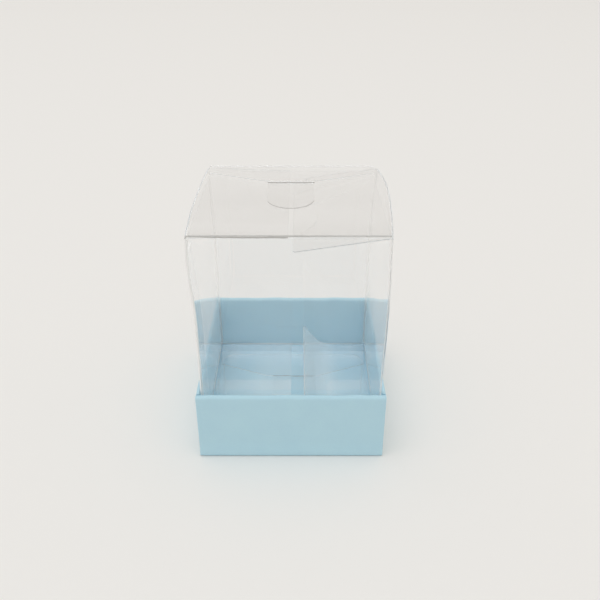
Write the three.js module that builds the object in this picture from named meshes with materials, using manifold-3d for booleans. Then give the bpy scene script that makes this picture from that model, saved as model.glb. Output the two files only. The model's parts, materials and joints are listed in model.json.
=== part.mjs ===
// Clear folding box in a pale blue card tray.
// The clear box is one creased and glued sheet: four walls, a glue flap, and at each end two dust
// flaps, a slit flap and a tongue flap that locks through the slit. The tray is one folded card
// blank: a floor, four outer walls, and a rolled rim on each wall that turns in to line it.
// Millimetres, +Z up. The origin is on the surface that the tray stands on, under its centre.
// +X is to the right and -Y is the front.
import * as THREE from 'three';
import { mergeVertices } from 'three/addons/utils/BufferGeometryUtils.js';
import Module from 'manifold-3d';

const wasm = await Module();
wasm.setup();

// Clear box, driving sizes
const boxWidth = 50;
const boxDepth = 49.5;
const boxTop = 69.2; // height of its top face over the surface that the tray stands on
const sheet = 0.3; // thickness of the clear sheet
const creaseRadius = 0.7; // outside of its four upright creases
const sheetGap = 0.12; // between sheets that lie over each other
const creaseGap = 0.25; // between a wall's edge and the round root of the flap hinged there
const flapInset = 0.3; // from the outside of the box to a lock flap's side edge
const flapTaper = 0.5; // how much a flap narrows on each side towards its free edge

// Lock of the two end closures
const topSlitInset = 13.2; // from the outside of the back wall to the slit
const baseSlitInset = 15;
const tongueWidth = 12.8;
const tongueLength = 17.8; // from the slit to the tip
const tongueAngle = 60; // degrees, where the tongue dives through the slit
const slitEndRoom = 0.25; // beyond each side of the tongue
const shoulderLength = 6.5; // slanted shoulders of the tongue flap, along the depth
const shoulderStep = 1.6; // level part of a shoulder beside the tongue
const slitFlapLength = 45.2; // from the outside of the front wall
const slitFlapCorner = 4;
const slitFlapEase = 8.4; // the slit flap dips to its level over this length behind its crease
const slitCreaseDrop = 0.1; // its crease lies this much inside the outermost sheet
const baseBulge = 3.3; // the lock flaps of the base spring down this far, on to the tray's floor
const bulgeRun = 14; // and reach it over this length behind their creases

// Dust flaps
const dustReach = 24.5; // length from crease to free edge
const dustClearance = 0.3; // to the front and back walls
const dustCorner = 0.9;

// How far each dust flap leans from level towards the inside of the box, in degrees
const topLeftAngle = 1.4;
const topRightAngle = 9.4;
const baseLeftAngle = 0;
const baseRightAngle = 0;

// The free part of the right dust flap at the base has sprung up out of level
const curlLength = 10.9;
const curlAngle = 56; // degrees, where it is steepest

// Glue flap, inside the left wall along its front crease
const glueWidth = 10;
const glueEndGap = 4; // from the wall's edge to the flap's end, so a dust flap can swing past
const glueTaper = 1.5; // slant of its two ends

// Card tray, driving sizes
const card = 0.45; // thickness of one ply
const plyGap = 0.15; // between the plies of the front and back walls
const slipGap = 0.3; // between the clear box and the lining of the tray
const trayHeight = 21.4;
const trayCorner = 0.5; // radius of the upright outer edges
const tabLength = 14; // corner tabs, folded from the side walls between the end plies
const tabClearance = 0.3; // from a tab to the floor and to the rolled rim
const restGap = 0.1; // under the clear box

// Facets
const bendSteps = 4;
const curlSteps = 6;
const rimSteps = 8;
const tipSteps = 20;

// Sizes that follow from those above
const layer = sheet + sheetGap;
const dustCreaseX = boxWidth / 2 - sheet;
const hingeY = boxDepth / 2 - sheet / 2;
const sideWall = 2 * card;
const endWall = 3 * card + 2 * plyGap;
const liningX = boxWidth / 2 + slipGap;
const liningY = boxDepth / 2 + slipGap;
const outerX = liningX + sideWall;
const outerY = liningY + endWall;
const sideRimZ = trayHeight - sideWall / 2;
const endRimZ = trayHeight - endWall / 2;
const diveAngle = THREE.MathUtils.degToRad(tongueAngle);
const diveRun = (2 * layer) / Math.tan(diveAngle);
const slitWidth = sheet / Math.sin(diveAngle) + sheet / Math.tan(diveAngle) + 2 * sheetGap;

// An end closure is described once, from its outer face inwards, and used at the top and the base.
const top = { face: boxTop, inward: -1, slitY: boxDepth / 2 - topSlitInset, bulge: 0 };
const base = {
  face: card + restGap + baseBulge,
  inward: 1,
  slitY: boxDepth / 2 - baseSlitInset,
  bulge: baseBulge,
};

// Height of the middle of a sheet that lies so many layers inside the closure's outer face
function level(end, layers) {
  return end.face + end.inward * (sheet / 2 + layers * layer);
}

// Height of the dust flaps' crease. It lies on the inner faces of side wall and flap, so that a
// flap can fold in beside the wall. A flap at the least lean just clears the tongue over it.
function dustHinge(end) {
  const rise = (dustCreaseX - tongueWidth / 2) * Math.sin(THREE.MathUtils.degToRad(topLeftAngle));
  return level(end, 3) + end.inward * (sheet / 2 - rise);
}

function slitHinge(end) {
  return level(end, 0) + end.inward * slitCreaseDrop;
}

// Edge of a front or back wall under the flap whose crease is at the given height
function wallEdge(end, hinge) {
  return hinge + end.inward * (sheet / 2 + creaseGap);
}

// Edge of a side wall under its dust flap
function sideEdge(end) {
  return dustHinge(end) + end.inward * creaseGap;
}

// Distance that a closure's lock flaps bulge outwards at the given place along the depth
function bulge(end, y) {
  const share = Math.min((hingeY - Math.abs(y)) / bulgeRun, 1);
  return (end.bulge * (1 - Math.cos(Math.PI * share))) / 2;
}

// A flat closure's path (y, z) with the bulge added, and with points where the bulge bends
function bulged(end, path) {
  if (end.bulge === 0) return path;
  const bends = Array.from({ length: rimSteps + 1 }, (_, i) => hingeY - (bulgeRun * i) / rimSteps);
  const stations = [...bends, ...bends.map((y) => -y)];
  const points = path.flatMap((point, i) => {
    if (i === 0) return [point];
    const before = path[i - 1];
    const share = (y) => (y - before[0]) / (point[0] - before[0]);
    const between = stations
      .map(share)
      .filter((s) => s > 0 && s < 1)
      .sort((a, b) => a - b)
      .map((s) => before.map((from, axis) => from + s * (point[axis] - from)));
    return [...between, point];
  });
  return points.map(([y, z]) => [y, z - end.inward * bulge(end, y)]);
}

function arc(centre, radius, fromDegrees, toDegrees, steps) {
  const curve = new THREE.EllipseCurve(
    centre[0],
    centre[1],
    radius,
    radius,
    THREE.MathUtils.degToRad(fromDegrees),
    THREE.MathUtils.degToRad(toDegrees),
    toDegrees < fromDegrees,
  );
  return curve.getPoints(steps).map((p) => [p.x, p.y]);
}

// Both sides of a path, half a thickness away, joined by mitres, with a round root at its start
function sheetOutline(path, thickness) {
  const half = thickness / 2;
  const points = path.map((p) => new THREE.Vector2(p[0], p[1]));
  const normals = points.slice(1).map((p, i) => {
    const along = p.clone().sub(points[i]).normalize();
    return new THREE.Vector2(-along.y, along.x);
  });
  const shift = points.map((p, i) => {
    const before = normals[Math.max(i - 1, 0)];
    const after = normals[Math.min(i, normals.length - 1)];
    const mean = before.clone().add(after).normalize();
    return mean.multiplyScalar(half / mean.dot(before));
  });
  const left = points.map((p, i) => [p.x + shift[i].x, p.y + shift[i].y]);
  const right = points.map((p, i) => [p.x - shift[i].x, p.y - shift[i].y]);
  const start = normals[0].angle() * THREE.MathUtils.RAD2DEG;
  const root = arc(path[0], half, start + 180, start, bendSteps * 2).slice(1, -1);
  return [...left, ...right.reverse(), ...root];
}

// Closed outline carried along one axis. Its points are (x, y), (y, z) or (z, x) for z, x and y.
function prism(axis, outline, low, high) {
  const shape = new THREE.Shape(outline.map((p) => new THREE.Vector2(p[0], p[1])));
  const geometry = new THREE.ExtrudeGeometry(shape, { depth: high - low, bevelEnabled: false });
  geometry.translate(0, 0, low);
  const turn = new THREE.Matrix4();
  if (axis === 'x') {
    turn.set(0, 0, 1, 0, 1, 0, 0, 0, 0, 1, 0, 0, 0, 0, 0, 1);
  }
  if (axis === 'y') {
    turn.set(0, 1, 0, 0, 0, 0, 1, 0, 1, 0, 0, 0, 0, 0, 0, 1);
  }
  geometry.applyMatrix4(turn);
  return toSolid(geometry);
}

function block(x, y, z) {
  const geometry = new THREE.BoxGeometry(x[1] - x[0], y[1] - y[0], z[1] - z[0]);
  geometry.translate((x[0] + x[1]) / 2, (y[0] + y[1]) / 2, (z[0] + z[1]) / 2);
  return toSolid(geometry);
}

function toSolid(geometry) {
  geometry.deleteAttribute('normal');
  geometry.deleteAttribute('uv');
  const merged = mergeVertices(geometry, 1e-4);
  return new wasm.Manifold(
    new wasm.Mesh({
      numProp: 3,
      vertProperties: new Float32Array(merged.attributes.position.array),
      triVerts: new Uint32Array(merged.index.array),
    }),
  );
}

function toGeometry(solid) {
  const mesh = solid.getMesh();
  const geometry = new THREE.BufferGeometry();
  geometry.setAttribute('position', new THREE.BufferAttribute(mesh.vertProperties, 3));
  geometry.setIndex(new THREE.BufferAttribute(mesh.triVerts, 1));
  geometry.computeVertexNormals();
  return geometry;
}

// Materials
function clearSheet() {
  return new THREE.MeshStandardMaterial({
    color: 0xe9eef0,
    roughness: 0.08,
    metalness: 0,
    transparent: true,
    opacity: 0.3,
  });
}

function blueCard() {
  return new THREE.MeshStandardMaterial({ color: 0xa6c6d3, roughness: 0.8, metalness: 0 });
}

function piece(name, solid, material) {
  const mesh = new THREE.Mesh(toGeometry(solid), material);
  mesh.name = name;
  return mesh;
}

// Section of one wall of the clear box: a strip whose ends turn half of each upright crease.
// u runs along the wall and v points outwards.
function wallSection(halfLength, offset) {
  const centreU = halfLength - creaseRadius;
  const centreV = offset - creaseRadius;
  const inner = creaseRadius - sheet;
  return [
    ...arc([centreU, centreV], creaseRadius, 45, 90, bendSteps),
    ...arc([-centreU, centreV], creaseRadius, 90, 135, bendSteps),
    ...arc([-centreU, centreV], inner, 135, 90, bendSteps),
    ...arc([centreU, centreV], inner, 90, 45, bendSteps),
  ];
}

// Walls and glue flap of the clear box
function makeWalls() {
  const halfX = boxWidth / 2;
  const halfY = boxDepth / 2;
  const frontBottom = wallEdge(base, slitHinge(base));
  const frontTop = wallEdge(top, slitHinge(top));
  const backBottom = wallEdge(base, level(base, 0));
  const backTop = wallEdge(top, level(top, 0));
  const sideBottom = sideEdge(base);
  const sideTop = sideEdge(top);
  const acrossWidth = wallSection(halfX, halfY);
  const acrossDepth = wallSection(halfY, halfX);
  const front = acrossWidth.map(([u, v]) => [-u, -v]);
  const right = acrossDepth.map(([u, v]) => [v, -u]);
  const left = acrossDepth.map(([u, v]) => [-v, u]);
  const flapFront = -halfY + creaseRadius;
  const flapBack = flapFront + glueWidth;
  const flapOutline = [
    [flapFront, sideBottom + glueEndGap],
    [flapBack, sideBottom + glueEndGap + glueTaper],
    [flapBack, sideTop - glueEndGap - glueTaper],
    [flapFront, sideTop - glueEndGap],
  ];
  const flapOuter = -halfX + sheet;
  const group = new THREE.Group();
  group.add(
    piece('box_front_wall', prism('z', front, frontBottom, frontTop), clearSheet()),
    piece('box_back_wall', prism('z', acrossWidth, backBottom, backTop), clearSheet()),
    piece('box_left_wall', prism('z', left, sideBottom, sideTop), clearSheet()),
    piece('box_right_wall', prism('z', right, sideBottom, sideTop), clearSheet()),
    piece('box_glue_flap', prism('x', flapOutline, flapOuter, flapOuter + sheet), clearSheet()),
  );
  return group;
}

// The tongue flap is hinged on the back wall. Its panel lies outermost, and past the slit its
// tongue lies under the slit flap.
function tongueFlap(end) {
  const outer = level(end, 0);
  const under = level(end, 2);
  const halfTongue = tongueWidth / 2;
  const halfRoot = boxWidth / 2 - flapInset;
  const tipCentre = end.slitY - tongueLength + halfTongue;
  const flat = [
    [hingeY, outer],
    [end.slitY + diveRun / 2, outer],
    [end.slitY - diveRun / 2, under],
    [end.slitY - tongueLength - 1, under],
  ];
  const bend = sheetOutline(bulged(end, flat), sheet);
  const shoulderY = end.slitY + diveRun / 2 + sheet;
  const outline = [
    [halfRoot, boxDepth / 2],
    [halfRoot - flapTaper, shoulderY + shoulderLength],
    [halfTongue + shoulderStep, shoulderY],
    [halfTongue, shoulderY],
    ...arc([0, tipCentre], halfTongue, 0, -180, tipSteps),
    [-halfTongue, shoulderY],
    [-halfTongue - shoulderStep, shoulderY],
    [-halfRoot + flapTaper, shoulderY + shoulderLength],
    [-halfRoot, boxDepth / 2],
  ];
  const [low, high] = closureSpan(end);
  return prism('x', bend, -halfRoot, halfRoot).intersect(prism('z', outline, low, high));
}

// The slit flap is hinged on the front wall and covers the tongue. Its slit runs across the box.
function slitFlap(end) {
  const crease = slitHinge(end);
  const flat = level(end, 1);
  const halfRoot = boxWidth / 2 - flapInset;
  const free = slitFlapLength - boxDepth / 2;
  const easing = Array.from({ length: bendSteps + 1 }, (_, i) => {
    const share = i / bendSteps;
    const eased = (1 - Math.cos(Math.PI * share)) / 2;
    return [-hingeY + slitFlapEase * share, crease + (flat - crease) * eased];
  });
  const bend = sheetOutline(bulged(end, [...easing, [free + 1, flat]]), sheet);
  const cornerX = halfRoot - flapTaper - slitFlapCorner;
  const outline = [
    [-halfRoot, -boxDepth / 2],
    [halfRoot, -boxDepth / 2],
    ...arc([cornerX, free - slitFlapCorner], slitFlapCorner, 0, 90, bendSteps),
    ...arc([-cornerX, free - slitFlapCorner], slitFlapCorner, 90, 180, bendSteps),
  ];
  const halfSlit = tongueWidth / 2 + slitEndRoom;
  const [low, high] = closureSpan(end);
  const slit = block(
    [-halfSlit, halfSlit],
    [end.slitY - slitWidth / 2, end.slitY + slitWidth / 2],
    [low, high],
  );
  return prism('x', bend, -halfRoot, halfRoot)
    .intersect(prism('z', outline, low, high))
    .subtract(slit);
}

// Heights between which all the sheets of a closure lie
function closureSpan(end) {
  const inner = end.face + end.inward * dustReach;
  const outer = end.face - end.inward * end.bulge;
  return [Math.min(outer, inner) - 1, Math.max(outer, inner) + 1];
}

// Slope of a curled flap at each step of its free part: it rises fast, and eases off at the edge
function curlSlopes(curl) {
  return Array.from({ length: curlSteps }, (_, i) => {
    const share = (i + 0.5) / curlSteps;
    return THREE.MathUtils.degToRad(curl) * Math.sin(Math.PI * (0.1 + 0.55 * share));
  });
}

// A dust flap is hinged on a side wall, on the left where side is -1. It leans into the box by
// the given angle, and its free part curls up by the other one.
function dustFlap(end, side, degrees, curl = 0) {
  const lean = THREE.MathUtils.degToRad(degrees);
  const rootX = side * (dustCreaseX - (sheet / 2) * Math.sin(lean));
  const rootZ = dustHinge(end) - end.inward * (sheet / 2) * Math.cos(lean);
  const path = [[rootZ, rootX]];
  const extend = (length, slope) => {
    const [z, x] = path[path.length - 1];
    path.push([z + end.inward * length * Math.sin(slope), x - side * length * Math.cos(slope)]);
  };
  extend(dustReach - (curl ? curlLength : 0), lean);
  if (curl) curlSlopes(curl).forEach((slope) => extend(curlLength / curlSteps, lean + slope));
  const freeX = path[path.length - 1][1];
  const bend = sheetOutline(path, sheet);
  const halfRoot = boxDepth / 2 - sheet - dustClearance;
  const halfFree = halfRoot - flapTaper - dustCorner;
  const cornerX = freeX + side * dustCorner;
  const outline = [
    [side * (boxWidth / 2), halfRoot],
    [side * (boxWidth / 2), -halfRoot],
    ...arc([cornerX, -halfFree], dustCorner, 270, 270 - side * 90, bendSteps),
    ...arc([cornerX, halfFree], dustCorner, side > 0 ? 180 : 0, 90, bendSteps),
  ];
  const [low, high] = closureSpan(end);
  return prism('y', bend, -halfRoot, halfRoot).intersect(prism('z', outline, low, high));
}

function makeClosures() {
  const group = new THREE.Group();
  group.add(
    piece('top_slit_flap', slitFlap(top), clearSheet()),
    piece('top_tongue_flap', tongueFlap(top), clearSheet()),
    piece('top_left_dust_flap', dustFlap(top, -1, topLeftAngle), clearSheet()),
    piece('top_right_dust_flap', dustFlap(top, 1, topRightAngle), clearSheet()),
    piece('base_slit_flap', slitFlap(base), clearSheet()),
    piece('base_tongue_flap', tongueFlap(base), clearSheet()),
    piece('base_left_dust_flap', dustFlap(base, -1, baseLeftAngle), clearSheet()),
    piece('base_right_dust_flap', dustFlap(base, 1, baseRightAngle, curlAngle), clearSheet()),
  );
  return group;
}

// Section of an outer ply, from its rounded bottom crease to the rim: s is the distance outwards
function plySection(outer, rimZ) {
  return [
    ...arc([outer - card, card], card, 270, 360, bendSteps),
    [outer, rimZ],
    [outer - card, rimZ],
  ];
}

// Section of a turn-in: over the rim in a half round, then down to the floor as the lining
function turnInSection(outer, lining, rimZ) {
  const middle = (outer + lining) / 2;
  const radius = (outer - lining) / 2;
  const inside = radius - card;
  const hollow = inside > card / 10 ? arc([middle, rimZ], inside, 180, 0, rimSteps) : [];
  return [
    ...arc([middle, rimZ], radius, 0, 180, rimSteps),
    [lining, card],
    [lining + card, card],
    ...(hollow.length ? hollow : [[lining + card, rimZ]]),
  ];
}

// A section (s, z) as the outline that prism wants: across the depth for the front and back,
// across the width for the sides. side is -1 for the front and the left.
function facing(axis, side, section) {
  return section.map(([s, z]) => (axis === 'x' ? [side * s, z] : [z, side * s]));
}

function makeTray() {
  const group = new THREE.Group();
  const innerX = outerX - card;
  const innerY = outerY - card;
  const plan = [
    ...arc([outerX - trayCorner, outerY - trayCorner], trayCorner, 0, 90, bendSteps),
    ...arc([-outerX + trayCorner, outerY - trayCorner], trayCorner, 90, 180, bendSteps),
    ...arc([-outerX + trayCorner, -outerY + trayCorner], trayCorner, 180, 270, bendSteps),
    ...arc([outerX - trayCorner, -outerY + trayCorner], trayCorner, 270, 360, bendSteps),
  ];
  const rounded = prism('z', plan, -1, trayHeight + 1);
  group.add(piece('tray_floor', block([-innerX, innerX], [-innerY, innerY], [0, card]), blueCard()));
  for (const [name, side] of [['front', -1], ['back', 1]]) {
    const ply = facing('x', side, plySection(outerY, endRimZ));
    const roll = facing('x', side, turnInSection(outerY, liningY, endRimZ));
    const outerWall = prism('x', ply, -outerX, outerX).intersect(rounded);
    // The lining fits between the outer plies of the side walls. Its rim runs over their ends.
    const rightTrim = block([innerX, outerX + 1], [-outerY - 1, outerY + 1], [0, endRimZ]);
    const leftTrim = block([-outerX - 1, -innerX], [-outerY - 1, outerY + 1], [0, endRimZ]);
    const turnIn = prism('x', roll, -outerX, outerX)
      .intersect(rounded)
      .subtract(rightTrim)
      .subtract(leftTrim);
    group.add(
      piece(`tray_${name}_wall`, outerWall, blueCard()),
      piece(`tray_${name}_turn_in`, turnIn, blueCard()),
    );
  }
  for (const [name, side] of [['left', -1], ['right', 1]]) {
    const ply = facing('y', side, plySection(outerX, sideRimZ));
    const roll = facing('y', side, turnInSection(outerX, liningX, sideRimZ));
    const span = [-outerX - 1, outerX + 1];
    // The rims of the front and back walls pass over the two ends of the side wall.
    const outerWall = prism('y', ply, -innerY, innerY)
      .intersect(rounded)
      .subtract(block(span, [liningY, outerY], [endRimZ, trayHeight]))
      .subtract(block(span, [-outerY, -liningY], [endRimZ, trayHeight]));
    const turnIn = prism('y', roll, -liningY, liningY);
    group.add(
      piece(`tray_${name}_wall`, outerWall, blueCard()),
      piece(`tray_${name}_turn_in`, turnIn, blueCard()),
    );
  }
  // Corner tabs lie between the outer ply and the lining of the front and back walls.
  const tabInner = liningY + card + plyGap;
  for (const [endName, endSide] of [['front', -1], ['back', 1]]) {
    for (const [sideName, side] of [['left', -1], ['right', 1]]) {
      const x = [side * innerX, side * (innerX - tabLength)].sort((a, b) => a - b);
      const y = [endSide * tabInner, endSide * (tabInner + card)].sort((a, b) => a - b);
      const tab = block(x, y, [card + tabClearance, endRimZ - tabClearance]);
      group.add(piece(`tray_${endName}_${sideName}_tab`, tab, blueCard()));
    }
  }
  return group;
}

const clearBox = new THREE.Group();
clearBox.add(makeWalls(), makeClosures());

const object = new THREE.Group();
object.add(makeTray(), clearBox);

export default object;
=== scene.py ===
"""Looks of a clear folding box in a pale blue card tray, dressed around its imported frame.

The clear box is one die-cut, creased and glued PET sheet, and the tray is one folded blank of
uncoated card with rolled rims. Sizes are in millimetres until a mesh is written in metres.
"""

import json
import logging
import math
from dataclasses import dataclass
from enum import Enum
from typing import Sequence

import bpy
import numpy as np
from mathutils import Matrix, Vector
from mathutils.geometry import delaunay_2d_cdt

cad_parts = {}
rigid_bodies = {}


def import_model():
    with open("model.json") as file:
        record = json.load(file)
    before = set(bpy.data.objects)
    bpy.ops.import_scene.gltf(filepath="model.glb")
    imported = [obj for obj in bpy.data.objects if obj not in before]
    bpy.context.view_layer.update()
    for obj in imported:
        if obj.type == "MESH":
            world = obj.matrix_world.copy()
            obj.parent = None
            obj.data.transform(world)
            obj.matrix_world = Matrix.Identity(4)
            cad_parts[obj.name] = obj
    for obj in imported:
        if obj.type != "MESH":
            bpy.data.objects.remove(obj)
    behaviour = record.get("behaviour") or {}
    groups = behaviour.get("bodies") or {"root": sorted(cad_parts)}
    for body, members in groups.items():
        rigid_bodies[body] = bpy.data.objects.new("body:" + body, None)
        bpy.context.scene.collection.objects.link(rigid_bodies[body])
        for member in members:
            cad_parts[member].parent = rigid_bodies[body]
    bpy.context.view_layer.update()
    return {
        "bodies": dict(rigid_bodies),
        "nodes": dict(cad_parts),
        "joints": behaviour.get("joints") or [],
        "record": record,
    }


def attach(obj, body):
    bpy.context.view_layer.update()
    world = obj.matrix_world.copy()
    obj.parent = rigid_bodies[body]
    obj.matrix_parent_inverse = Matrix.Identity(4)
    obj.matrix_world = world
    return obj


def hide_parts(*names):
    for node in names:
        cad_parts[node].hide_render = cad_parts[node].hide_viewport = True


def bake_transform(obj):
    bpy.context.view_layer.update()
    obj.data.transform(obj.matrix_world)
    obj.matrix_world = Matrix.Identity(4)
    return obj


LOG = logging.getLogger("clear_box")
MM = 0.001
Array = np.ndarray
# Points nearer than this are one point, and a divisor is at least the next
SAME_POINT = 1e-6
LEAST_DIVISOR = 1e-12
# Turns in radians and runs in millimetres below these count as none
NO_TURN = 1e-4
NO_RUN = 1e-9
# Room in millimetres between points on a cut edge, and between it and the points inside
CUT_ROOM = 0.02
INNER_ROOM = 0.05
ON_CUT = 0.01


# Numbers and nodes

def hex_to_linear(code: str) -> tuple[float, float, float, float]:
    """Turns an sRGB hex colour to linear light, by the two pieces of the sRGB curve.

    Args:
        code: Six hex digits.

    Returns:
        Linear red, green and blue with an alpha of one.
    """
    srgb = np.array([int(code[i:i + 2], 16) for i in (0, 2, 4)]) / 255
    linear = np.where(srgb <= 0.04045, srgb / 12.92, ((srgb + 0.055) / 1.055) ** 2.4)
    return (*linear.tolist(), 1.0)


def smooth(values: Array) -> Array:
    """Eases 0 to 1 with level ends: 3t^2 - 2t^3 of the clipped value."""
    t = np.clip(values, 0, 1)
    return t * t * (3 - 2 * t)


def add_node(tree: bpy.types.NodeTree, kind: str, inputs: dict | None = None,
             **settings) -> bpy.types.Node:
    """Adds a node with its settings, and sets or links its inputs.

    Args:
        tree: The node tree.
        kind: The node's type name.
        inputs: Values, or sockets to link from, by input name or index.
        **settings: Properties of the node.

    Returns:
        The new node.
    """
    node = tree.nodes.new(kind)
    for key, value in settings.items():
        setattr(node, key, value)
    for key, value in (inputs or {}).items():
        if isinstance(value, bpy.types.NodeSocket):
            tree.links.new(value, node.inputs[key])
        else:
            node.inputs[key].default_value = value
    return node


def new_material(name: str) -> tuple[bpy.types.Material, bpy.types.NodeTree]:
    """Makes an empty node material.

    Args:
        name: The material's name.

    Returns:
        The material and its node tree.
    """
    material = bpy.data.materials.new(name)
    material.use_nodes = True
    material.node_tree.nodes.clear()
    return material, material.node_tree


def object_noise(tree: bpy.types.NodeTree, size: float, detail: float = 3.0,
                 stretch: Sequence[float] = (1, 1, 1)) -> bpy.types.NodeSocket:
    """Adds a noise on Object coordinates.

    Args:
        tree: The node tree.
        size: Width of one blotch in millimetres.
        detail: Octaves of finer noise.
        stretch: Scale along each axis.

    Returns:
        The noise's value socket.
    """
    place = add_node(tree, "ShaderNodeTexCoord").outputs["Object"]
    turned = add_node(tree, "ShaderNodeMapping", {"Vector": place, "Scale": stretch})
    noise = add_node(tree, "ShaderNodeTexNoise",
                     {"Vector": turned.outputs["Vector"], "Scale": 1 / (size * MM), "Detail": detail})
    return noise.outputs["Fac"]


# Finishes

@dataclass(frozen=True)
class ClearPet:
    """Extruded clear PET sheet, 0.3 mm: clean and glossy, with a faint grey cast in its layers.

    The slow unevenness of the extruded sheet bends its reflections a little. Haze is a painted sheen:
    the share of each face that turns to a matt white veil, as the sheet's sheen attribute says.
    """
    name: str = "clear_pet_sheet"
    haze: float = 0.0
    tint: str = "FFFFFF"
    ior: float = 1.575
    roughness: float = 0.0
    ripple: float = 14.0
    ripple_height: float = 0.012
    lamp_pass: str = "FEFEFE"
    veil: str = "FAFAF9"

    def material(self) -> bpy.types.Material:
        """Builds the node material.

        Returns:
            The material.
        """
        made, tree = new_material(self.name)
        slow = object_noise(tree, self.ripple, 1.0)
        bump = add_node(tree, "ShaderNodeBump", {"Height": slow, "Distance": self.ripple_height * MM})
        gloss = add_node(tree, "ShaderNodeBsdfPrincipled", {
            "Base Color": hex_to_linear(self.tint), "Roughness": self.roughness, "IOR": self.ior,
            "Transmission Weight": 1.0, "Normal": bump.outputs["Normal"]})
        # Painted sheen: a matt white veil in place of reflected light
        veil = add_node(tree, "ShaderNodeBsdfDiffuse", {"Color": hex_to_linear(self.veil)})
        rubbing = add_node(tree, "ShaderNodeAttribute", attribute_name="rubbing")
        share = add_node(tree, "ShaderNodeMath", {0: rubbing.outputs["Fac"], 1: self.haze},
                         operation="MULTIPLY")
        sheet = add_node(tree, "ShaderNodeMixShader", {
            0: share.outputs[0], 1: gloss.outputs[0], 2: veil.outputs[0]})
        # Lamp light and light from matt surfaces go straight through, as almost all of it does
        clear = add_node(tree, "ShaderNodeBsdfTransparent", {"Color": hex_to_linear(self.lamp_pass)})
        path = add_node(tree, "ShaderNodeLightPath")
        soft = add_node(tree, "ShaderNodeMixShader", {
            0: path.outputs["Is Diffuse Ray"], 1: sheet.outputs[0], 2: clear.outputs[0]})
        lamp = add_node(tree, "ShaderNodeMixShader", {
            0: path.outputs["Is Shadow Ray"], 1: soft.outputs[0], 2: clear.outputs[0]})
        add_node(tree, "ShaderNodeOutputMaterial", {"Surface": lamp.outputs[0]})
        return made


@dataclass(frozen=True)
class CutPetEdge:
    """Edge of the PET sheet as the die leaves it: finely scored, so it scatters and reads milky."""
    name: str = "die_cut_pet_edge"
    tint: str = "FCFCFB"
    ior: float = 1.575
    roughness: float = 0.5
    score: float = 0.12
    score_depth: float = 0.02
    through: float = 0.0

    def material(self) -> bpy.types.Material:
        """Builds the node material.

        Returns:
            The material.
        """
        made, tree = new_material(self.name)
        fine = object_noise(tree, self.score, 2.0)
        bump = add_node(tree, "ShaderNodeBump", {"Height": fine, "Distance": self.score_depth * MM})
        gloss = add_node(tree, "ShaderNodeBsdfPrincipled", {
            "Base Color": hex_to_linear(self.tint), "Roughness": self.roughness, "IOR": self.ior,
            "Transmission Weight": self.through, "Normal": bump.outputs["Normal"]})
        add_node(tree, "ShaderNodeOutputMaterial", {"Surface": gloss.outputs[0]})
        return made


@dataclass(frozen=True)
class ScoredPet:
    """Scored and folded line in the PET sheet, where the strained plastic turns a little milky."""
    name: str = "scored_pet_crease"
    tint: str = "FAFAF9"
    ior: float = 1.1
    roughness: float = 0.3
    through: float = 0.85
    lamp_pass: str = "F4F4F4"

    def material(self) -> bpy.types.Material:
        """Builds the node material.

        Returns:
            The material.
        """
        made, tree = new_material(self.name)
        gloss = add_node(tree, "ShaderNodeBsdfPrincipled", {
            "Base Color": hex_to_linear(self.tint), "Roughness": self.roughness, "IOR": self.ior,
            "Transmission Weight": self.through})
        clear = add_node(tree, "ShaderNodeBsdfTransparent", {"Color": hex_to_linear(self.lamp_pass)})
        path = add_node(tree, "ShaderNodeLightPath")
        lamp = add_node(tree, "ShaderNodeMixShader", {
            0: path.outputs["Is Shadow Ray"], 1: gloss.outputs[0], 2: clear.outputs[0]})
        add_node(tree, "ShaderNodeOutputMaterial", {"Surface": lamp.outputs[0]})
        return made


@dataclass(frozen=True)
class BlueCard:
    """Uncoated gift-box card, dyed pale blue: matt, with felt-side fibre clouds and a soft tooth."""
    colour: str = "B9DBE8"
    deep: str = "B7D9E7"
    pale: str = "BBDDE9"
    cloud: float = 5.0
    fibre: float = 0.45
    fibre_stretch: float = 2.2
    tooth: float = 0.16
    tooth_depth: float = 0.03
    tooth_strength: float = 0.7
    deep_end: float = 0.35
    pale_end: float = 0.65
    roughness: float = 0.88
    ior: float = 1.45
    specular: float = 0.3

    def material(self) -> bpy.types.Material:
        """Builds the node material.

        Returns:
            The material.
        """
        made, tree = new_material("uncoated_blue_card")
        cloud = object_noise(tree, self.cloud, 4.0)
        fibre = object_noise(tree, self.fibre, 3.0, (1, 1, self.fibre_stretch))
        tooth = object_noise(tree, self.tooth, 2.0)
        mixed = add_node(tree, "ShaderNodeMath", {0: cloud, 1: fibre}, operation="ADD")
        half = add_node(tree, "ShaderNodeMath", {0: mixed.outputs[0], 1: 0.5}, operation="MULTIPLY")
        ramp = add_node(tree, "ShaderNodeValToRGB", {"Fac": half.outputs[0]})
        ramp.color_ramp.elements[0].position = self.deep_end
        ramp.color_ramp.elements[0].color = hex_to_linear(self.deep)
        ramp.color_ramp.elements[1].position = self.pale_end
        ramp.color_ramp.elements[1].color = hex_to_linear(self.pale)
        middle = ramp.color_ramp.elements.new(0.5)
        middle.color = hex_to_linear(self.colour)
        bump = add_node(tree, "ShaderNodeBump", {
            "Height": tooth, "Distance": self.tooth_depth * MM, "Strength": self.tooth_strength})
        paper = add_node(tree, "ShaderNodeBsdfPrincipled", {
            "Base Color": ramp.outputs["Color"], "Roughness": self.roughness, "IOR": self.ior,
            "Specular IOR Level": self.specular, "Normal": bump.outputs["Normal"]})
        add_node(tree, "ShaderNodeOutputMaterial", {"Surface": paper.outputs[0]})
        return made


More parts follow.
